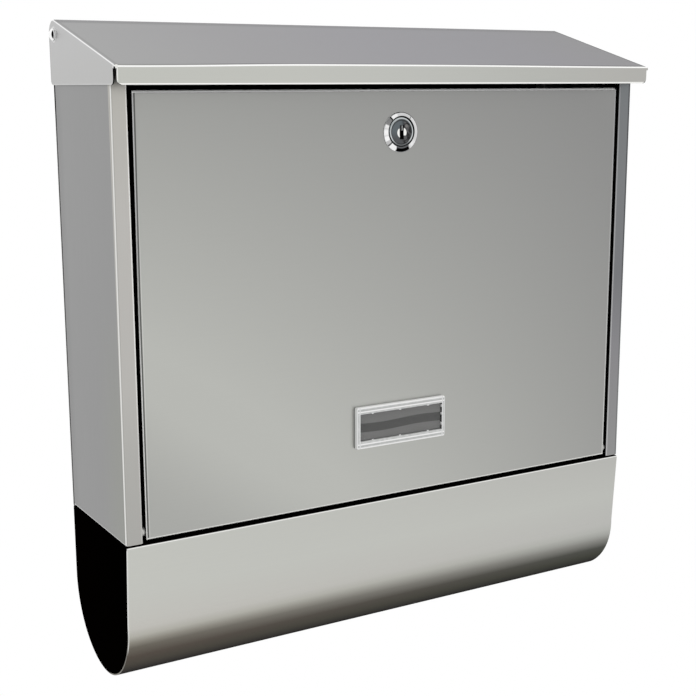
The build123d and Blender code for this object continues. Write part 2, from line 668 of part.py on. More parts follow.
def name_clip():
    """Plate pressed in behind the card, with a finger hole."""
    start = PLATE_FACE + PLATE_WINDOW + CARD_THICKNESS
    section = plate_pocket(PLATE_PLAY) - Circle(FINGER_HOLE / 2)
    return through_door(section, start, start + CLIP_PLATE_THICKNESS, PLATE_Z)


NODES = {
    "back_panel": back_panel(),
    "side_panel_right": side_panel(),
    "side_panel_left": mirror(side_panel(), Plane.YZ),
    "floor_tray": floor_tray(),
    "top_rail": top_rail(),
    "newspaper_tube": newspaper_tube(),
    "tube_rivets": tube_rivets(),
    "lid_pads": lid_pads(),
    "door_pads": door_pads(),
    "door_hinge_pins": hinge_pins(),
    "door_hinge_clips": hinge_clips(),
    "lid_pivot_rivets": pivot_rivets(),
    "lid_pivot_washers": pivot_washers(),
    "lid_pivot_spacers": pivot_spacers(),
    "rain_lid": rain_lid(),
    "door_panel": door_panel(),
    "lock_housing": lock_housing(),
    "lock_washer": lock_washer(),
    "lock_nut": lock_nut(),
    "lock_plug": lock_plug(),
    "lock_wafers": lock_wafers(),
    "lock_cam": lock_cam(),
    "cam_washer": cam_washer(),
    "cam_screw": cam_screw(),
    "name_window": name_window(),
    "name_card": name_card(),
    "name_clip": name_clip(),
}

os.makedirs("parts", exist_ok=True)
for node, shape in NODES.items():
    export_step(shape, f"parts/{node}.step")
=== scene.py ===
import math

import bmesh
import bpy
import mathutils
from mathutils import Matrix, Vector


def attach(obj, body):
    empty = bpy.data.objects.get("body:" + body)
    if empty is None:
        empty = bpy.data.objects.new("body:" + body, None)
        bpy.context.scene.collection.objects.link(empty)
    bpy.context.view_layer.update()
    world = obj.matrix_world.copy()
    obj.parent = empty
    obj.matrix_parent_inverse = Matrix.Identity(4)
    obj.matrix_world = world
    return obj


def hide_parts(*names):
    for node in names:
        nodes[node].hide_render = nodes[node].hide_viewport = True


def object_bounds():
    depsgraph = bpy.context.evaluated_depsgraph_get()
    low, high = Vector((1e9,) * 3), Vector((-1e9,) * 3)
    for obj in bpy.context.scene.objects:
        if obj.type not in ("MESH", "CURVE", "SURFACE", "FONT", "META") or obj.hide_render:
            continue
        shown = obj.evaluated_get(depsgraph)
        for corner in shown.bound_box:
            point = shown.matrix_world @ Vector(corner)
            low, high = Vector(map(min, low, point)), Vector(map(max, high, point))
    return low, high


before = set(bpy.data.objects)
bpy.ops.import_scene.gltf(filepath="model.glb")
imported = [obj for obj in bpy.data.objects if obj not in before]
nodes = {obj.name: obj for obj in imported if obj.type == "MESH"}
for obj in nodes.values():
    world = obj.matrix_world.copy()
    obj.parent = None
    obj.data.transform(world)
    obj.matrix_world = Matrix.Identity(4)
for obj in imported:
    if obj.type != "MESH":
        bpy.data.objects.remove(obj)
cad_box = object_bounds()

# Camera. It stands in front of the box and to its left, level with the lid's lip, and looks a little down
# through a short tele lens that shows the whole box and the tube's round bottom.
CAMERA_PLACE = (-0.42930, -0.75847, 0.11621)
CAMERA_YAW = -30.506
CAMERA_PITCH = -11.451
CAMERA_ROLL = 0.181
CAMERA_LENS = 67.188

camera = bpy.data.objects.new("camera", bpy.data.cameras.new("camera"))
camera.data.lens = CAMERA_LENS
camera.data.sensor_width = 36.0
camera.data.clip_start = 0.01
camera.location = CAMERA_PLACE
camera.rotation_euler = [math.radians(angle) for angle in (90 + CAMERA_PITCH, CAMERA_ROLL, CAMERA_YAW)]
bpy.context.scene.collection.objects.link(camera)
bpy.context.scene.camera = camera
bpy.context.scene.view_settings.view_transform = "Standard"


# Side walls, back, floor tray and top rail: the housing, folded from 0.8 mm brushed stainless sheet. The
# grain is fine and runs along each sheet. The folds carry painted highlights in thin lines, and what faces a
# narrow gap is painted black as shade.
class Value:
    """A number or colour in a material's nodes; arithmetic on it adds Math nodes."""

    def __init__(self, finish, socket):
        self.finish, self.socket = finish, socket

    def math(self, operation, *others):
        inputs = dict(enumerate((self, *others)))
        return self.finish.node("ShaderNodeMath", {"operation": operation}, inputs)

    def __add__(self, other):
        return self.math("ADD", other)

    def __sub__(self, other):
        return self.math("SUBTRACT", other)

    def __mul__(self, other):
        return self.math("MULTIPLY", other)

    def __truediv__(self, other):
        return self.math("DIVIDE", other)

    def __neg__(self):
        return self * -1.0

    def __rsub__(self, other):
        return -self + other

    __radd__ = __add__
    __rmul__ = __mul__

    def size(self):
        return self.math("ABSOLUTE")

    def less(self, other):
        """The smaller of two, point by point."""
        return self.math("MINIMUM", other)

    def more(self, other):
        """The larger of two, point by point."""
        return self.math("MAXIMUM", other)

    def near(self, middle, half, soft=0.0002):
        """1 within half of the middle, fading to 0 over soft."""
        return (self - middle).size().rise(half + soft, half)

    def from_line(self, other, here, there):
        """Distance from a line, given this and another coordinate and the line's place on both."""
        across, along = self - here, other - there
        return (across * across + along * along).math("SQRT")

    def rise(self, low, high):
        """0 below low, 1 above high, and smooth between; low may be the larger."""
        settings = {"interpolation_type": "SMOOTHSTEP"}
        inputs = {"Value": self, "From Min": low, "From Max": high, "To Min": 0.0, "To Max": 1.0}
        if low > high:
            inputs.update({"From Min": high, "From Max": low, "To Min": 1.0, "To Max": 0.0})
        return self.finish.node("ShaderNodeMapRange", settings, inputs)

    def parts(self):
        """A vector's three numbers."""
        split = self.finish.node("ShaderNodeSeparateXYZ", {}, {"Vector": self}, None)
        return [Value(self.finish, out) for out in split.outputs]


class Finish:
    """A material made of nodes round one Principled shader, or two."""

    def __init__(self, name):
        self.material = bpy.data.materials.new(name)
        self.material.use_nodes = True
        self.tree = self.material.node_tree
        self.tree.nodes.clear()

    def node(self, kind, settings, inputs, output=0):
        """Adds a node and gives one of its outputs, or the node itself when output is None."""
        made = self.tree.nodes.new(kind)
        for key, value in settings.items():
            if key == "stops":
                ramp = made.color_ramp
                while len(ramp.elements) < len(value):
                    ramp.elements.new(0.5)
                for element, (place, colour) in zip(ramp.elements, value):
                    element.position = place
                    element.color = colour
            else:
                setattr(made, key, value)
        for key, value in inputs.items():
            if isinstance(value, Value):
                self.tree.links.new(value.socket, made.inputs[key])
            else:
                made.inputs[key].default_value = value
        return made if output is None else Value(self, made.outputs[output])

    def place(self):
        return self.node("ShaderNodeTexCoord", {}, {}, "Object")

    def facing(self):
        """The three parts of the surface's outward direction, on the piece's own axes."""
        return self.node("ShaderNodeTexCoord", {}, {}, "Normal").parts()

    def noise(self, factors, detail=2.0, roughness=0.5):
        """Noise whose scale on each axis is one of the factors."""
        inputs = {0: self.place(), 1: factors}
        stretched = self.node("ShaderNodeVectorMath", {"operation": "MULTIPLY"}, inputs)
        inputs = {"Vector": stretched, "Scale": 1.0, "Detail": detail, "Roughness": roughness}
        return self.node("ShaderNodeTexNoise", {}, inputs)

    def ramp(self, factor, stops):
        """A colour that runs through stops, each a place from 0 to 1 and a colour."""
        return self.node("ShaderNodeValToRGB", {"stops": stops}, {"Fac": factor})

    def mix(self, mask, first, second):
        return self.node("ShaderNodeMix", {"data_type": "RGBA"}, {0: mask, 6: first, 7: second}, 2)

    def over(self, base, *layers):
        """The base colour under layers, each a mask and a colour, the last on top."""
        for mask, colour in layers:
            base = self.mix(mask, base, colour)
        return base

    def shade(self, inputs, dull=None):
        """Ends the material in a Principled shader; where dull is 1 its colour is matt."""
        shader = self.node("ShaderNodeBsdfPrincipled", {}, inputs)
        if dull is not None:
            matt_inputs = {"Base Color": inputs["Base Color"], "Roughness": 1.0, "IOR": 1.0}
            matt = self.node("ShaderNodeBsdfPrincipled", {}, matt_inputs)
            shader = self.node("ShaderNodeMixShader", {}, {0: dull, 1: shader, 2: matt})
        self.node("ShaderNodeOutputMaterial", {}, {"Surface": shader}, None)
        return self.material


def tone(red, green, blue):
    """A colour given as 0-255 screen values."""
    levels = [level / 255 for level in (red, green, blue)]
    linear = [c / 12.92 if c <= 0.04045 else ((c + 0.055) / 1.055) ** 2.4 for c in levels]
    return (*linear, 1.0)


def grey(level):
    """A neutral colour given as one 0-255 screen value."""
    return tone(level, level, level)


GRAIN_LEVEL = (30.0, 2400.0, 2400.0)
GRAIN_UPRIGHT = (2400.0, 2400.0, 30.0)
GRAIN_CONTRAST = 0.07
GRAIN_BUMP = 0.05
GRAIN_HEIGHT = 0.0001
ROUGHNESS_SPREAD = 0.15
SHEET_ROUGHNESS = 0.36
INNER_ROUGHNESS = 0.45
SHADED = grey(3)


def brushed(finish, grain, colour, dull, roughness=SHEET_ROUGHNESS):
    """Brushed stainless sheet: the colour, streaked along the grain; where dull is 1 it mirrors nothing."""
    fine = finish.noise(grain, 3.0, 0.6)
    streaks = (fine - 0.5) * GRAIN_CONTRAST + 1.0
    streaked = finish.node("ShaderNodeVectorMath", {"operation": "SCALE"}, {0: colour, "Scale": streaks})
    bump_inputs = {"Strength": GRAIN_BUMP, "Distance": GRAIN_HEIGHT, "Height": fine}
    steel = {
        "Base Color": streaked,
        "Metallic": 1.0,
        "Roughness": (fine - 0.5) * ROUGHNESS_SPREAD + roughness,
        "Normal": finish.node("ShaderNodeBump", {}, bump_inputs),
    }
    return finish.shade(steel, dull)


def dress(name, material):
    """Gives a CAD node its material."""
    slots = nodes[name].data.materials
    slots.clear()
    slots.append(material)


BODY_HALF = 0.183
RETURN_LIP = 0.173
FRONT_FACE = -0.092
FOLD_START = FRONT_FACE + 0.0016
WALL_FOOT = -0.140
WALL_HIGH = 0.256
CORNER_TURN = 0.37
GLINT_LEAN = 0.0041
# The front flanges' tones, by height, are painted reflection: light on the left, darker on the right.
LEFT_FLANGE = [
    (0.0, tone(179, 178, 174)), (0.2, tone(184, 183, 179)), (0.35, tone(192, 190, 186)),
    (0.72, tone(194, 192, 188)), (1.0, tone(189, 187, 181)),
]
RIGHT_FLANGE = [
    (0.0, grey(150)), (0.3, tone(142, 141, 144)), (0.5, tone(125, 126, 129)), (0.75, tone(129, 131, 133)),
    (1.0, tone(124, 127, 129)),
]

side = Finish("side_sheet")
place_x, place_y, place_z = side.place().parts()
width = place_x.size()
left_hand = place_x.rise(0.01, -0.01)
right_hand = 1.0 - left_hand
height_share = (place_z - WALL_FOOT) / WALL_HIGH
outer_skin = width.rise(BODY_HALF - 0.0006, BODY_HALF - 0.0003)
front_skin = place_y.rise(FOLD_START + 0.0005, FOLD_START + 0.0002)
shown = outer_skin.more(front_skin)
# The wall's tone is painted reflection: a little lighter towards the top, with painted shade near the rear
# edge and a slightly lighter, warmer painted tone low at the front.
rear_shade = place_y.rise(-0.013, -0.005) * 0.2
lower_front = place_y.rise(-0.05, -0.088) * height_share.rise(0.6, 0.2)
wall_tone = side.over(
    side.mix(height_share.rise(0.2, 0.8), grey(142), grey(145)),
    (rear_shade, grey(110)),
    (lower_front, tone(145, 146, 141)),
)
flange_tone = side.mix(left_hand, side.ramp(height_share, RIGHT_FLANGE), side.ramp(height_share, LEFT_FLANGE))
# A thin painted highlight runs down the left corner fold, a little nearer the wall at the foot than at the
# top, with faint painted shade beside it.
round_corner = (BODY_HALF - width) - (place_y - FOLD_START) * CORNER_TURN
beside_glint = (round_corner - (place_z + 0.114) * GLINT_LEAN - 0.00025).size()
corner_dip = beside_glint.rise(0.0011, 0.0007) * left_hand
corner_glint = beside_glint.rise(0.00050, 0.00026) * left_hand
# The front flanges' edges: painted shade along the outer edge on the right, a painted highlight along the
# inner one on both.
right_edge = width.rise(BODY_HALF - 0.0023, BODY_HALF - 0.0019) * front_skin * right_hand
right_edge_tone = side.mix(place_z.rise(-0.10, 0.02), tone(122, 123, 124), tone(84, 85, 88))
left_lip = width.rise(RETURN_LIP + 0.00125, RETURN_LIP + 0.0010) * front_skin * left_hand
left_lip_tone = side.mix(height_share.rise(0.0, 0.5), tone(196, 195, 192), tone(250, 249, 245))
right_lip = width.near(RETURN_LIP + 0.00058, 0.00026, 0.00012) * front_skin * right_hand
right_lip_tone = side.mix(height_share, grey(190), tone(152, 153, 155))
# A painted highlight along the wall's foot.
foot_line = place_z.rise(WALL_FOOT + 0.0006, WALL_FOOT + 0.0002) * outer_skin
outside = side.over(
    side.mix(front_skin, wall_tone, flange_tone),
    (corner_dip * 0.25, tone(110, 110, 108)),
    (corner_glint, tone(234, 234, 231)),
    (right_edge, right_edge_tone),
    (left_lip, left_lip_tone),
    (right_lip, right_lip_tone),
    (foot_line, tone(208, 208, 206)),
)
# What faces the gaps beside the door is painted black as shade, and the rear fold is painted lighter as a
# highlight.
in_gap = width.rise(RETURN_LIP + 0.0015, RETURN_LIP + 0.0012)
hidden_fold = width.rise(RETURN_LIP + 0.00030, RETURN_LIP + 0.00022) * right_hand
rear_fold = place_y.rise(-0.0026, -0.0016)
behind = side.over(tone(104, 104, 102), (rear_fold, grey(160)), (in_gap, SHADED))
side_steel = brushed(
    side,
    GRAIN_UPRIGHT,
    side.mix(shown * (1.0 - hidden_fold), behind, outside),
    ((1.0 - shown) * in_gap).more(hidden_fold).more(left_lip),
)
dress("side_panel_right", side_steel)
dress("side_panel_left", side_steel)

inner = Finish("inner_sheet")
x, y, z = inner.facing()
place_x, place_y, place_z = inner.place().parts()
# Inside the box, painted shade darkens the sheets under the lid, and the inner faces near the door are
# painted black as shade; faces towards the wall are lighter.
doorway = place_y.rise(-0.074, -0.078)
under_lid = place_z.rise(0.085, 0.108) * y.rise(0.8, 0.5)
to_wall = y.rise(0.5, 0.8)
inner_tone = inner.over(
    tone(118, 118, 116), (under_lid, grey(26)), (to_wall, tone(158, 158, 156)), (doorway, SHADED)
)
inner_steel = brushed(inner, GRAIN_LEVEL, inner_tone, doorway.more(under_lid), INNER_ROUGHNESS)
for hidden in ("back_panel", "floor_tray", "top_rail"):
    dress(hidden, inner_steel)


# Newspaper tube: one sheet bent into a U under the box, open at both ends, bright outside and painted black
# inside as shade. Its front is painted with a reflection that stays light down to the bend, where it turns
# to the brown-grey of the dark ground, and the front leans back a little on its way down to the round bottom.
TUBE_TOP = -0.141
TUBE_FOOT = -0.233
BOWL_Y = -0.048
BOWL_Z = -0.187
LEAN = 0.0031
LEAN_TOP = TUBE_TOP - 0.0016
LEAN_BLEND = 0.030
LEAN_EASE = 0.7
TUBE_INSIDE = tone(4, 2, 1)
# Painted reflection on the tube's front, by height, at its left and right ends.
TUBE_LEFT = [
    (0.09, tone(52, 50, 48)), (0.12, tone(65, 62, 59)), (0.171, tone(80, 76, 69)), (0.239, tone(90, 82, 75)),
    (0.315, tone(112, 107, 98)), (0.355, tone(150, 146, 136)), (0.396, tone(187, 185, 176)),
    (0.446, tone(202, 200, 194)), (0.50, tone(205, 204, 198)), (0.685, tone(206, 207, 201)),
]
TUBE_RIGHT = [
    (0.09, tone(50, 50, 47)), (0.12, tone(60, 61, 57)), (0.171, tone(72, 73, 66)), (0.239, tone(84, 85, 80)),
    (0.315, tone(145, 145, 140)), (0.355, tone(170, 171, 166)), (0.396, tone(185, 186, 181)),
    (0.446, tone(191, 191, 187)), (0.50, tone(192, 192, 188)), (0.685, tone(195, 196, 191)),
    (1.0, tone(189, 189, 185)),
]

tube = Finish("tube_sheet")
x, y, z = tube.facing()
place_x, place_y, place_z = tube.place().parts()
outward = (place_y - BOWL_Y) * y + (place_z - BOWL_Z).less(0.0) * z
skin = outward.rise(0.0, 0.001) * z.rise(0.8, 0.6)
rise_share = (place_z - TUBE_FOOT) / (TUBE_TOP - TUBE_FOOT)
width_share = (place_x + BODY_HALF) / (2 * BODY_HALF)
# Painted highlights along the top fold and at the left end.
top_glint = place_z.rise(TUBE_TOP - 0.0011, TUBE_TOP - 0.0008)
end_glint = place_x.rise(0.0007 - BODY_HALF, 0.0004 - BODY_HALF) * rise_share.rise(0.25, 0.33)
front_tone = tube.over(
    tube.mix(width_share, tube.ramp(rise_share, TUBE_LEFT), tube.ramp(rise_share, TUBE_RIGHT)),
    (top_glint, tone(244, 244, 241)),
    (end_glint, tone(222, 222, 218)),
)
# The cut rim carries a painted highlight along the front, down to the bend, and is painted black as shade at
# the rear.
rim = x.size().rise(0.7, 0.9)
rim_shown = place_y.rise(BOWL_Y - 0.004, BOWL_Y - 0.010) * place_z.rise(TUBE_TOP - 0.0012, TUBE_TOP - 0.0020)
rim_light = tube.mix(place_z.rise(BOWL_Z - 0.013, BOWL_Z - 0.003), tone(138, 136, 130), tone(242, 242, 239))
rim_tone = tube.mix(rim_shown, SHADED, rim_light)
tube_tone = tube.over(TUBE_INSIDE, (skin, front_tone), (rim, rim_tone))
mirrors = skin * (1.0 - rim) * rise_share.rise(0.30, 0.36)
tube_steel = brushed(tube, GRAIN_LEVEL, tube_tone, 1.0 - mirrors)


def merged(source):
    """A CAD node's mesh as a bmesh with its doubles merged."""
    shape = bmesh.new()
    shape.from_mesh(nodes[source].data)
    bmesh.ops.remove_doubles(shape, verts=shape.verts, dist=0.000001)
    return shape


def as_piece(name, shape):
    """A new object from a bmesh, at the origin."""
    mesh = bpy.data.meshes.new(name)
    shape.to_mesh(mesh)
    shape.free()
    piece = bpy.data.objects.new(name, mesh)
    bpy.context.scene.collection.objects.link(piece)
    return piece


shape = merged("newspaper_tube")
for vert in shape.verts:
    if vert.co.y < BOWL_Y and vert.co.z < LEAN_TOP:
        down = min(1.0, (LEAN_TOP - vert.co.z) / (LEAN_TOP - BOWL_Z))
        above_foot = min(1.0, max(0.0, (vert.co.z - TUBE_FOOT) / (BOWL_Z - TUBE_FOOT)) ** LEAN_EASE)
        forward = min(1.0, (BOWL_Y - vert.co.y) / LEAN_BLEND)
        vert.co.y += LEAN * down * above_foot * forward
bowl = as_piece("newspaper_bowl", shape)
bowl.data.materials.append(tube_steel)
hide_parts("newspaper_tube")
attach(bowl, "housing")


# Rain lid: a sloping sheet with its lip and cheeks folded down. The slope is duller and painted darker than
# the lip, which is painted lighter as it faces the light, and the folds carry painted highlights as thin
# bright lines.
LID_PITCH = math.radians(15.5)
LID_HALF = 0.185
LIP_FACE = -0.105
LIP_FOOT = 0.1166
LID_FOLD = 0.127
LID_REAR = -0.0016
LID_ROUGHNESS = 0.34
PIVOT_PLACE = (-0.0096, 0.14515)
# Painted reflections across the lid's width, from left to right, on the slope and on the lip.
SLOPE = [
    (0.0, grey(162)), (0.25, tone(155, 154, 156)), (0.5, tone(150, 149, 153)), (0.8, tone(145, 144, 148)),
    (1.0, tone(142, 141, 143)),
]
LIP = [
    (0.0, tone(199, 200, 194)), (0.28, tone(199, 200, 194)), (0.5, tone(195, 196, 191)),
    (0.75, tone(187, 188, 183)), (1.0, tone(182, 181, 177)),
]

lid = Finish("lid_sheet")
x, y, z = lid.facing()
place_x, place_y, place_z = lid.place().parts()
width = place_x.size()
width_share = (place_x + LID_HALF) / (2 * LID_HALF)
left_hand = place_x.rise(0.01, -0.01)
on_cheek = x.size().rise(0.5, 0.8)
on_lip = y.rise(-0.5, -0.8)
on_slope = z.rise(0.85, 0.93)
under = (-z).rise(0.5, 0.8)
cheek_tone = lid.mix(place_z.rise(0.145, 0.118), grey(189), tone(187, 187, 186))
slope_tone = lid.ramp(width_share, SLOPE)
lip_tone = lid.ramp(width_share, LIP)
# The front fold's painted glint lies low on the fold at the left end, and on its upper edge from the middle
# on, with a faint painted shade line above it.
glint_rise = place_x.rise(-0.18, -0.06) * 0.0012 - place_x.rise(0.02, 0.17) * 0.00045
above_glint = place_z - glint_rise - (LID_FOLD - 0.00088)
near_front = place_y.rise(LIP_FACE + 0.0050, LIP_FACE + 0.0040) * (1.0 - on_cheek)
front_glint = above_glint.near(0.0, 0.00034, 0.0002) * near_front
over_glint = above_glint.near(0.00080, 0.0002, 0.0002) * near_front
# The side folds carry painted highlights on the left and painted shade on the right, where they turn away
# from the light, with faint painted shade beside them.
below_roof = (place_z - LID_FOLD - (place_y - LIP_FACE) * math.tan(LID_PITCH)) * math.cos(LID_PITCH)
side_fold = width.from_line(below_roof, LID_HALF, 0.0)
side_fold_tone = lid.mix(left_hand, tone(104, 104, 105), grey(244))
beside_fold = side_fold.near(0.0020, 0.0005, 0.0005) * on_slope
right_margin = side_fold.rise(0.0028, 0.0018) * on_slope * (1.0 - left_hand)
# Painted highlights in thin lines round the washers and along the sheet's cut edges, and painted shade along
# the cheeks' and the slope's rear edges and at the lip's right end.
beside_washer = place_y.from_line(place_z, *PIVOT_PLACE).near(0.0039, 0.0005, 0.0002) * on_cheek
lip_foot = place_z.rise(LIP_FOOT + 0.00105, LIP_FOOT + 0.00075) * on_lip
lip_seam = width.near(LID_HALF - 0.0017, 0.0005, 0.0003) * on_lip
cheek_front = place_y.near(LIP_FACE + 0.0008, 0.0004, 0.0004) * on_cheek
cheek_rear = place_y.rise(LID_REAR - 0.0017, LID_REAR - 0.0009) * on_cheek
cheek_foot = place_z.rise(LIP_FOOT + 0.0010, LIP_FOOT + 0.0005) * on_cheek
roof_rear = place_y.rise(-0.0165, -0.0150) * on_slope
lip_end = (
    width.rise(LID_HALF - 0.0004, LID_HALF - 0.0006)
    * x.size().rise(0.6, 0.8)
    * place_y.rise(LIP_FACE + 0.0030, LIP_FACE + 0.0024)
)
lip_end_tone = lid.mix(left_hand, tone(158, 158, 156), tone(250, 250, 246))
outer_lid = lid.over(
    slope_tone,
    (on_cheek, cheek_tone),
    (on_lip, lip_tone),
    (over_glint * 0.5, grey(92)),
    (front_glint, tone(255, 255, 253)),
    (beside_fold * 0.25, grey(110)),
    (side_fold.rise(0.0008, 0.0005), side_fold_tone),
    (right_margin, side_fold_tone),
    (beside_washer * 0.6, grey(255)),
    (lip_foot, tone(246, 246, 243)),
    (lip_seam * left_hand, tone(238, 238, 234)),
    (cheek_front, tone(222, 222, 221)),
    (cheek_rear, grey(176)),
    (roof_rear * 0.5, tone(128, 128, 129)),
    (cheek_foot, tone(198, 198, 197)),
    (lip_end, lip_end_tone),
    (under, tone(150, 150, 149)),
)
# What faces the seams and the gap above the door is painted black as shade.
behind_lip = under * place_y.rise(-0.092, -0.099)
inside_cheek = width.rise(LID_HALF - 0.00065, LID_HALF - 0.00075) * x.size().rise(0.7, 0.9)
inside_lip = place_y.rise(LIP_FACE + 0.0005, LIP_FACE + 0.0008) * y.rise(0.5, 0.8)
seam_depth = width.rise(LID_HALF - 0.00095, LID_HALF - 0.0008) * on_lip * left_hand
seam_depth = seam_depth * place_z.rise(LID_FOLD - 0.0008, LID_FOLD - 0.0012)
lid_shade = behind_lip.more(inside_cheek).more(inside_lip).more(seam_depth) * (1.0 - lip_end)
lid_steel = brushed(
    lid,
    GRAIN_LEVEL,
    lid.mix(lid_shade, outer_lid, lid.mix(seam_depth, grey(40), SHADED)),
    lid_shade.more(on_slope * 0.6).more(beside_washer * 0.8).more(lip_end),
    LID_ROUGHNESS,
)
dress("rain_lid", lid_steel)


# Front door: a shallow pan of the same sheet, hinged at its foot. Its face is painted with light that runs
# from a warm light grey at the lower left to a cooler mid grey at the upper right, and its flanges are
# painted black as shade.
DOOR_HALF = 0.1706
DOOR_TOP = 0.1138
DOOR_FOOT = -0.1387
DOOR_CORNER_TURN = 0.39
LIGHT_FROM_LEFT = 0.44
LIGHT_FROM_BELOW = 0.37
LIGHT_FROM_BOTH = 0.74
LIGHT_LOST_IN_CORNER = 0.84
DOOR_GLINT = [
    (0.1, grey(206)), (0.35, tone(196, 196, 195)), (0.45, tone(200, 200, 198)), (0.68, tone(248, 248, 246)),
    (0.9, tone(255, 255, 252)),
]

door = Finish("door_sheet")
place_x, place_y, place_z = door.place().parts()
leftward = (DOOR_HALF - place_x) / (2 * DOOR_HALF)
downward = (DOOR_TOP - place_z) / (DOOR_TOP - DOOR_FOOT)
lowest_left = (leftward + downward).rise(1.55, 2.0)
light = leftward * LIGHT_FROM_LEFT + downward * LIGHT_FROM_BELOW + leftward * downward * LIGHT_FROM_BOTH
light = light - lowest_left * LIGHT_LOST_IN_CORNER - 0.05
plain_face = door.mix(light, tone(148, 148, 147), tone(193, 194, 189))
face_skin = place_y.rise(FRONT_FACE + 0.0015, FRONT_FACE + 0.0008)
# The left fold carries a painted highlight that grows towards the foot, a painted shade line beside it and a
# faint painted highlight.
round_fold = (place_x + DOOR_HALF) - (place_y - FOLD_START) * DOOR_CORNER_TURN
past_glint = round_fold - (place_z.more(0.0) * 0.006 + 0.00042)
glint = past_glint.near(0.0, 0.0003, 0.0001)
beside_glint = past_glint.near(0.0008, 0.0004, 0.0003)
left_line = round_fold.near(0.00215, 0.00025, 0.00015) * downward.rise(0.1, 0.3)
# Painted highlights along the right, top and foot folds.
right_line = place_x.rise(DOOR_HALF - 0.0019, DOOR_HALF - 0.0017)
top_line = place_z.rise(DOOR_TOP - 0.0015, DOOR_TOP - 0.0012) * (1.0 - right_line)
foot_line = place_z.rise(DOOR_FOOT + 0.0016, DOOR_FOOT + 0.0012)
face_tone = door.over(
    plain_face,
    (left_line * 0.2, tone(255, 255, 252)),
    (beside_glint * 0.9, tone(84, 85, 84)),
    (glint, door.ramp(downward, DOOR_GLINT)),
    (right_line, door.mix(downward, tone(166, 166, 167), tone(216, 216, 213))),
    (top_line, tone(252, 253, 252)),
    (foot_line, tone(232, 232, 229)),
)
left_flange = past_glint.rise(-0.0003, -0.00042)
behind_face = (1.0 - face_skin) * (1.0 - glint) * (1.0 - top_line)
in_shade = left_flange.more(behind_face)
door_tone = door.mix(in_shade, face_tone, SHADED)
door_steel = brushed(door, GRAIN_LEVEL, door_tone, in_shade.more(glint).more(top_line))
dress("door_panel", door_steel)


# Cam lock: a chromed bezel and barrel, with its washer, nut, cam and screw in plain zinc plate behind the
# door. The bezel's front is pressed lower than the plain turned part, and its polish is painted with a
# reflection of the room in short bright and dark stretches. The plug's face is dark satin nickel, painted
# with lighter and darker reflection, with a painted highlight in the dish round the keyway and the keyway
# painted black as shade.
LOCK_HEIGHT = 0.0882
PRESSED = 0.35
# The dark arc at the bezel's foot is a painted reflection.
DARK_ARC_MIDDLE = 0.5 - 85 / 360
DARK_ARC_HALF = 27 / 360
# Angle round the bezel in degrees, from the right by way of the top, and the grey of the painted reflection
# there.
BEZEL_TONES = [
    (-180, 246), (-173, 240), (-170, 214), (-166, 248), (-155, 250), (-152, 196), (-142, 190), (-140, 60),
    (-137, 80), (-135, 246), (-112, 240), (-109, 4), (-61, 4), (-58, 206), (-45, 236), (-30, 222),
    (-26, 208), (40, 218), (51, 222), (53, 90), (56, 206), (104, 208), (108, 238), (127, 240),
    (129, 6), (132, 8), (134, 140), (154, 142), (157, 236), (164, 232), (168, 212), (174, 246),
]


def pressed_low(name, source):
    """A copy of a CAD node whose part in front of the door's sheet stands a third as far out."""
    shape = merged(source)
    proud = [vert for vert in shape.verts if vert.co.y < FRONT_FACE]
    keep_sheet = mathutils.Matrix.Translation((0.0, -FRONT_FACE, 0.0))
    bmesh.ops.scale(shape, vec=(1.0, PRESSED, 1.0), space=keep_sheet, verts=proud)
    return as_piece(name, shape)


chrome = Finish("lock_chrome")
x, y, z = chrome.facing()
place_x, place_y, place_z = chrome.place().parts()
up = place_z - LOCK_HEIGHT
radius = place_x.from_line(up, 0.0, 0.0)
turn_share = up.math("ARCTAN2", place_x) / (2.0 * math.pi) + 0.5
# The painted dark arc has a lighter outer and a darker inner rim, and the bezel's side wall is painted
# lighter at the left and the foot and darker at the right.
in_arc = turn_share.near(DARK_ARC_MIDDLE, DARK_ARC_HALF, 0.005)
arc_outer = radius.rise(0.0116, 0.0118) * in_arc
arc_inner = radius.rise(0.0097, 0.0095) * in_arc
bezel_side = y.rise(-0.62, -0.45) * radius.rise(0.0112, 0.0114)
bezel_side_tone = chrome.over(
    tone(226, 227, 227),
    (place_x.rise(0.0, 0.009), tone(186, 187, 188)),
    (up.rise(-0.006, -0.0095), tone(240, 240, 241)),
)
# The groove and the collar look set a little above the bezel's middle. The groove is painted dark as shade,
# darkest at the right, the collar's bore is painted dark as shade, and the collar is painted light above
# and dark below.
inner_radius = place_x.from_line(up, 0.0, 0.0004)
groove = inner_radius.rise(0.0083, 0.0084) * (inner_radius + in_arc * 0.0003).rise(0.0094, 0.0093)
groove_tone = chrome.mix(place_x.rise(-0.004, 0.004), tone(44, 46, 46), tone(6, 8, 8))
collar_bore = inner_radius.rise(0.00765, 0.0075)
collar = inner_radius.near(0.0080, 0.0003, 0.0001)
collar_tone = chrome.mix(up.rise(-0.004, -0.0068), tone(196, 201, 202), tone(112, 114, 116))
behind_door = place_y.rise(FRONT_FACE + 0.0001, FRONT_FACE + 0.0005)
ring_tone = chrome.over(
    chrome.ramp(turn_share, [(angle / 360 + 0.5, grey(level)) for angle, level in BEZEL_TONES]),
    (arc_outer, tone(166, 167, 169)),
    (arc_inner, tone(104, 105, 107)),
    (bezel_side, bezel_side_tone),
    (groove, groove_tone),
    (collar_bore, tone(96, 100, 102)),
    (collar, collar_tone),
    (behind_door, tone(190, 192, 192)),
)
lightness = chrome.node("ShaderNodeRGBToBW", {}, {0: ring_tone})
chrome_bright = chrome.shade(
    {"Base Color": ring_tone, "Metallic": 1.0, "Roughness": 0.16},
    lightness.rise(0.6, 0.3).more(bezel_side) * (1.0 - behind_door),
)
bezel = pressed_low("lock_bezel", "lock_housing")
bezel.data.materials.append(chrome_bright)
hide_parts("lock_housing")
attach(bezel, "door")

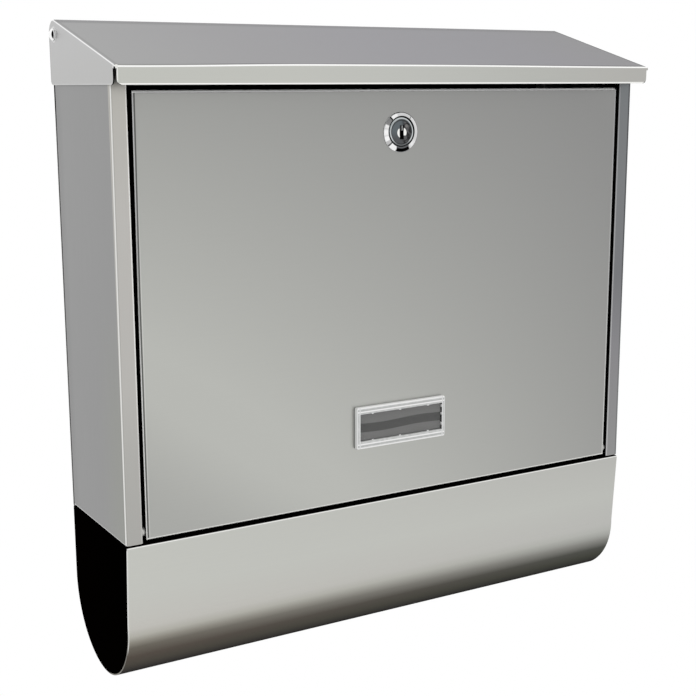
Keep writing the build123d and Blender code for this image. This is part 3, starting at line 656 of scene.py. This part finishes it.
nickel = Finish("plug_nickel")
place_x, place_y, place_z = nickel.place().parts()
up = place_z - LOCK_HEIGHT
radius = place_x.from_line(up, 0.0, 0.0)
mottle = nickel.noise((520.0, 520.0, 520.0), 3.0, 0.6)
# The plug's face is painted with reflection: a lighter left half, a darker mottled right half with a painted
# highlight patch, painted shade round its edge, a painted highlight in the dish beside the keyway and the
# keyway itself painted black as shade.
dark_half = nickel.mix(mottle.rise(0.42, 0.62), tone(46, 46, 47), tone(98, 98, 99))
light_half = nickel.mix(up.rise(0.002, -0.005), tone(102, 109, 113), tone(88, 89, 91))
bright_patch = place_x.from_line(up, 0.0036, 0.0038).rise(0.0014, 0.0006)
face_edge = radius.rise(0.0066, 0.0071)
in_dish = place_x.from_line(up, 0.0004, -0.0003).rise(0.0034, 0.0031)
left_leaf = place_x.rise(-0.0008, -0.0010) * up.near(-0.0005, 0.0023, 0.0005)
right_leaf = place_x.rise(0.0017, 0.0019) * up.near(0.0003, 0.0020, 0.0005)
dish = in_dish * left_leaf.more(right_leaf) * place_y.rise(FRONT_FACE + 0.0005, FRONT_FACE - 0.0002)
key_slot = place_x.near(0.0004, 0.0013, 0.0001) * up.near(0.0, 0.0041, 0.0002)
plug_tone = nickel.over(
    light_half,
    (place_x.rise(-0.0005, 0.0025), dark_half),
    (bright_patch * 0.7, tone(140, 139, 138)),
    (face_edge, tone(52, 54, 55)),
    (dish, tone(250, 250, 247)),
    (key_slot, grey(8)),
)
plug_nickel = nickel.shade(
    {"Base Color": plug_tone, "Metallic": 1.0, "Roughness": mottle * 0.1 + 0.28},
    key_slot.more(1.0 - dish) * 0.8,
)
core = pressed_low("lock_core", "lock_plug")
core.data.materials.append(plug_nickel)
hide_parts("lock_plug")
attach(core, "lock")

# Dust shutter: a sprung steel flap that closes the upper part of the keyway behind the plug's face.
SHUTTER_SIZE = (0.0021, 0.0004, 0.0030)
SHUTTER_PLACE = (0.0, FRONT_FACE - 0.0006, LOCK_HEIGHT + 0.0025)
SHUTTER_BEVEL = 0.0001


def solid_block(name, size, place, bevel=0.0):
    """A box at its place in its mesh, its edges rounded by the bevel."""
    shape = bmesh.new()
    bmesh.ops.create_cube(shape, size=1.0)
    bmesh.ops.scale(shape, vec=size, verts=shape.verts)
    if bevel:
        edges = shape.edges[:]
        bmesh.ops.bevel(shape, geom=edges, offset=bevel, segments=2, profile=0.5, affect="EDGES", material=-1)
    bmesh.ops.translate(shape, vec=place, verts=shape.verts)
    return as_piece(name, shape)


flap = Finish("shutter_steel")
place_x, place_y, place_z = flap.place().parts()
flap_line = place_x.near(0.0006, 0.00022, 0.0001)
flap_tone = flap.mix(flap_line, tone(30, 30, 31), tone(176, 178, 178))
shutter = solid_block("key_shutter", SHUTTER_SIZE, SHUTTER_PLACE, SHUTTER_BEVEL)
shutter.data.materials.append(flap.shade({"Base Color": flap_tone, "Metallic": 0.6, "Roughness": 0.4}))
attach(shutter, "lock")

zinc = Finish("zinc_plate")
spangle = zinc.noise((300.0, 300.0, 300.0), 4.0)
zinc_tone = zinc.mix(spangle, tone(165, 167, 165), tone(205, 206, 200))
zinc_plate = zinc.shade({"Base Color": zinc_tone, "Metallic": 1.0, "Roughness": spangle * 0.2 + 0.25})
for part in ("lock_washer", "lock_nut", "lock_cam", "cam_washer", "cam_screw"):
    dress(part, zinc_plate)

wafer = Finish("wafer_brass")
tarnish = wafer.noise((700.0, 700.0, 700.0), 3.0)
wafer_tone = wafer.mix(tarnish.rise(0.4, 0.7), tone(196, 168, 102), tone(150, 122, 74))
dress("lock_wafers", wafer.shade({"Base Color": wafer_tone, "Metallic": 1.0, "Roughness": 0.34}))


# Name plate: a clear moulding on the door, with a dark card and a black plate pressed in behind it. The
# moulding is a frame with round edges and a sunk window, a clear pane lies in the window, and small nibs
# hold the card.
PLATE_WIDE = 0.0656
PLATE_HIGH = 0.0264
PLATE_MIDDLE = -0.0914
PLATE_FRONT = -0.0952
PLATE_CORNER = 0.0011
PLATE_RIDGE = 0.0006
WINDOW_WIDE = 0.0606
WINDOW_HIGH = 0.0172
WINDOW_DEEP = 0.0020
WINDOW_MIDDLE = PLATE_MIDDLE + 0.0002
PANE_THICK = 0.0005
PANE_PLACE = PLATE_FRONT + 0.0009
CARD_FACE = -0.0938
CARD_THICK = 0.0007
CARD_BEVEL = 0.00005
CARD_BOW = 0.0005
WINDOW_PLAY = 0.0001
NIB_SIZE = (0.0014, 0.0007, 0.0005)
NIB_BEVEL = 0.00012
NIB_PLACES = (-0.0210, -0.0010, 0.0200)

shape = bmesh.new()
bmesh.ops.create_cube(shape, size=1.0)
bmesh.ops.scale(shape, vec=(PLATE_WIDE, FRONT_FACE - PLATE_FRONT, PLATE_HIGH), verts=shape.verts)
upright = [edge for edge in shape.edges if abs(edge.verts[0].co.y - edge.verts[1].co.y) > 0.001]
bmesh.ops.bevel(
    shape, geom=upright, offset=PLATE_CORNER, segments=4, profile=0.5, affect="EDGES", material=-1
)
front = min(shape.faces, key=lambda face: face.calc_center_median().y)
ridge = list(front.edges)
bmesh.ops.bevel(shape, geom=ridge, offset=PLATE_RIDGE, segments=3, profile=0.5, affect="EDGES", material=-1)
bmesh.ops.translate(shape, vec=(0.0, (FRONT_FACE + PLATE_FRONT) / 2, PLATE_MIDDLE), verts=shape.verts)
moulding = as_piece("plate_moulding", shape)
window_size = (WINDOW_WIDE, 2 * WINDOW_DEEP, WINDOW_HIGH)
opening = solid_block("plate_opening", window_size, (0.0, PLATE_FRONT, WINDOW_MIDDLE))
cut = moulding.modifiers.new("window", "BOOLEAN")
cut.operation = "DIFFERENCE"
cut.object = opening
bpy.context.view_layer.update()
evaluated = moulding.evaluated_get(bpy.context.evaluated_depsgraph_get())
cut_mesh = bpy.data.meshes.new_from_object(evaluated)
moulding.modifiers.clear()
moulding.data = cut_mesh
bpy.data.objects.remove(opening)

clear = Finish("clear_moulding")
x, y, z = clear.facing()
place_x, place_y, place_z = clear.place().parts()
up = place_z - PLATE_MIDDLE
from_side = PLATE_WIDE / 2 - place_x.size()
from_end = PLATE_HIGH / 2 - up.size()
facing_front = (-y).rise(0.8, 0.95)
haze = clear.noise((420.0, 420.0, 420.0), 3.0)
# The moulding carries painted highlights along its edges, the window's rim and its inner side walls, with
# dark marks at the clips, a band of painted shade between the edge lines and painted shade where it meets the
# door.
outer_line = from_end.rise(0.0012, 0.0008)
second_line = from_end.near(0.0029, 0.0003, 0.0002) * facing_front
between = from_end.near(0.0019, 0.0003, 0.0002) * facing_front
side_line = from_side.near(0.0003, 0.0003, 0.0002)
door_contact = place_y.rise(FRONT_FACE - 0.0008, FRONT_FACE - 0.0004)
inner_side = x.size().rise(0.7, 0.9) * from_side.rise(0.0014, 0.0018)
clip_bits = up.near(0.0068, 0.0007).more(up.near(0.0017, 0.0006)).more(up.near(-0.0048, 0.0008))
window_rim = (place_x.size() - WINDOW_WIDE / 2).near(0.0003, 0.0003, 0.0002) * facing_front
clear_tone = clear.over(
    tone(196, 197, 196),
    (haze.rise(0.35, 0.7), tone(212, 213, 212)),
    (between * 0.6, tone(178, 179, 178)),
    (outer_line.more(second_line), tone(246, 246, 245)),
    (side_line, tone(232, 233, 232)),
    (door_contact, tone(112, 113, 112)),
    (inner_side, clear.mix(clip_bits, grey(30), grey(255))),
    (window_rim, tone(226, 227, 226)),
)
clear_plastic = clear.shade({"Base Color": clear_tone, "Roughness": 0.22, "IOR": 1.46, "Alpha": 0.96})
moulding.data.materials.clear()
moulding.data.materials.append(clear_plastic)
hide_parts("name_window")
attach(moulding, "door")

glassy = Finish("clear_pane")
glassy_haze = glassy.noise((400.0, 400.0, 400.0)) * 0.06 + 0.03
pane_clear = glassy.shade(
    {"Base Color": tone(235, 236, 236), "Roughness": glassy_haze, "IOR": 1.46, "Alpha": 0.02}
)
pane_size = (WINDOW_WIDE - WINDOW_PLAY, PANE_THICK, WINDOW_HIGH - WINDOW_PLAY)
pane = solid_block("window_pane", pane_size, (0.0, PANE_PLACE, WINDOW_MIDDLE))
pane.data.materials.append(pane_clear)
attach(pane, "door")

nib = Finish("plate_nib")
place_x, place_y, place_z = nib.place().parts()
nib_tone = nib.mix((place_x * 900.0).math("SINE").rise(-0.1, 0.1), grey(250), grey(190))
nib_white = nib.shade({"Base Color": nib_tone, "Roughness": 0.3})
for row, sign in (("upper", 1), ("lower", -1)):
    for number, along in enumerate(NIB_PLACES):
        place = (along, PLATE_FRONT + 0.0006, WINDOW_MIDDLE + sign * (WINDOW_HIGH / 2 - NIB_SIZE[2] / 2))
        stud = solid_block(f"{row}_nib_{number + 1}", NIB_SIZE, place, NIB_BEVEL)
        stud.data.materials.append(nib_white)
        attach(stud, "door")

card = Finish("dark_card")
place_x, place_y, place_z = card.place().parts()
up = place_z - WINDOW_MIDDLE
# The card's darker band, bowed a little across its middle, is a painted reflection of the pane; the card is
# also darker towards its edges.
bow = (place_x * 110.0).math("SINE") * CARD_BOW
band = (up - bow + 0.0003).size().rise(0.0031, 0.0025)
card_edge = (WINDOW_WIDE / 2 - place_x.size()).less(WINDOW_HIGH / 2 - up.size()).rise(0.0006, 0.0002)
card_tone = card.over(tone(113, 113, 112), (band, tone(76, 76, 75)), (card_edge, tone(62, 62, 61)))
card_size = (WINDOW_WIDE - WINDOW_PLAY, CARD_THICK, WINDOW_HIGH - WINDOW_PLAY)
insert = solid_block("name_insert", card_size, (0.0, CARD_FACE + CARD_THICK / 2, WINDOW_MIDDLE), CARD_BEVEL)
insert.data.materials.append(card.shade({"Base Color": card_tone, "Roughness": 0.6, "IOR": 1.2}))
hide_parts("name_card")
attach(insert, "door")

backing = Finish("black_plastic")
grit = backing.noise((800.0, 800.0, 800.0), 3.0)
backing_tone = backing.mix(grit.rise(0.35, 0.7), grey(24), grey(36))
dress("name_clip", backing.shade({"Base Color": backing_tone, "Roughness": grit * 0.2 + 0.4}))


# Rivets, pins, washers and pads: bright turned steel, a nylon ring on each pivot, and soft black pads. A
# pivot rivet's dome is painted with a reflection of the white room, and painted black, as a reflection of
# the dark one, in a thin crescent at its front.
HEAD_RADIUS = 0.0034
CRESCENT_START = 0.0020

bright = Finish("bright_steel")
fine = bright.noise((900.0, 900.0, 900.0), 3.0)
turned_tone = bright.mix(fine.rise(0.35, 0.7), tone(208, 208, 206), tone(222, 222, 220))
turned_steel = bright.shade({"Base Color": turned_tone, "Metallic": 1.0, "Roughness": fine * 0.1 + 0.2})
for part in ("tube_rivets", "door_hinge_clips"):
    dress(part, turned_steel)

pin = Finish("hinge_pin_steel")
width = pin.place().parts()[0].size()
pin_line = width.near(RETURN_LIP - 0.0008, 0.0003, 0.0002)
pin_tone = pin.mix(pin_line, tone(150, 150, 148), tone(214, 214, 210))
in_gap = width.rise(DOOR_HALF, DOOR_HALF + 0.0003)
pin_steel = pin.shade({"Base Color": pin_tone, "Metallic": 1.0, "Roughness": 0.3}, in_gap * 0.7)
dress("door_hinge_pins", pin_steel)

dome = Finish("pivot_rivet")
place_x, place_y, place_z = dome.place().parts()
from_middle = place_y.from_line(place_z, *PIVOT_PLACE)
frontward = PIVOT_PLACE[0] - place_y
in_head = from_middle.rise(HEAD_RADIUS, HEAD_RADIUS - 0.0001)
crescent = frontward.rise(CRESCENT_START, CRESCENT_START + 0.0004) * in_head
dome_tone = dome.over(grey(170), (frontward.rise(-0.0016, -0.0008), grey(252)), (crescent, SHADED))
dome_steel = dome.shade({"Base Color": dome_tone, "Metallic": 1.0, "Roughness": 0.25}, crescent)
dress("lid_pivot_rivets", dome_steel)

washer = Finish("pivot_washer")
place_x, place_y, place_z = washer.place().parts()
# The washer's front is painted lighter as a highlight.
washer_tone = washer.mix((PIVOT_PLACE[0] - place_y).rise(0.0, 0.002), tone(214, 214, 213), grey(250))
outside_wall = place_x.size().rise(BODY_HALF - 0.003, BODY_HALF + 0.001)
washer_inputs = {"Base Color": washer_tone, "Metallic": 1.0, "Roughness": 0.3}
dress("lid_pivot_washers", washer.shade(washer_inputs, outside_wall * 0.8))

nylon = Finish("nylon")
speck = nylon.noise((600.0, 600.0, 600.0), 3.0)
nylon_tone = nylon.mix(speck.rise(0.35, 0.7), tone(222, 221, 214), tone(230, 229, 224))
dress("lid_pivot_spacers", nylon.shade({"Base Color": nylon_tone, "Roughness": speck * 0.2 + 0.4}))

soft = Finish("soft_pad")
pore = soft.noise((1500.0, 1500.0, 1500.0))
pad_tone = soft.mix(pore.rise(0.4, 0.7), grey(20), tone(34, 34, 33))
pore_height = soft.node("ShaderNodeBump", {}, {"Strength": 0.3, "Distance": 0.0002, "Height": pore})
soft_rubber = soft.shade({"Base Color": pad_tone, "Roughness": 0.85, "Normal": pore_height})
for part in ("lid_pads", "door_pads"):
    dress(part, soft_rubber)


# Floor and light. The box hangs in front of a white ground above a plain pale floor, and the white world
# lights it evenly from all sides. The floor looks white to the camera and in mirrors, so that no horizon
# shows.
FLOOR_DROP = 0.30
FLOOR_SIZE = 6.0

shape = bmesh.new()
bmesh.ops.create_grid(shape, x_segments=1, y_segments=1, size=FLOOR_SIZE)
bmesh.ops.translate(shape, verts=shape.verts, vec=(0.0, 0.0, cad_box[0][2] - FLOOR_DROP))
floor = as_piece("floor", shape)
ground = Finish("pale_floor")
rays = ground.node("ShaderNodeLightPath", {}, {}, None).outputs
seen = Value(ground, rays["Is Camera Ray"])
for ray in ("Is Glossy Ray", "Is Transmission Ray"):
    seen = seen.more(Value(ground, rays[ray]))
lit_floor = ground.node("ShaderNodeBsdfDiffuse", {}, {"Color": grey(235)})
white = ground.node("ShaderNodeEmission", {}, {"Color": (1.0, 1.0, 1.0, 1.0), "Strength": 1.0})
mixed = ground.node("ShaderNodeMixShader", {}, {0: seen, 1: lit_floor, 2: white})
ground.node("ShaderNodeOutputMaterial", {}, {"Surface": mixed}, None)
floor.data.materials.append(ground.material)

world = bpy.data.worlds.new("studio")
bpy.context.scene.world = world
world.use_nodes = True
world.node_tree.nodes["Background"].inputs["Color"].default_value = (1.0, 1.0, 1.0, 1.0)
world.node_tree.nodes["Background"].inputs["Strength"].default_value = 1.0
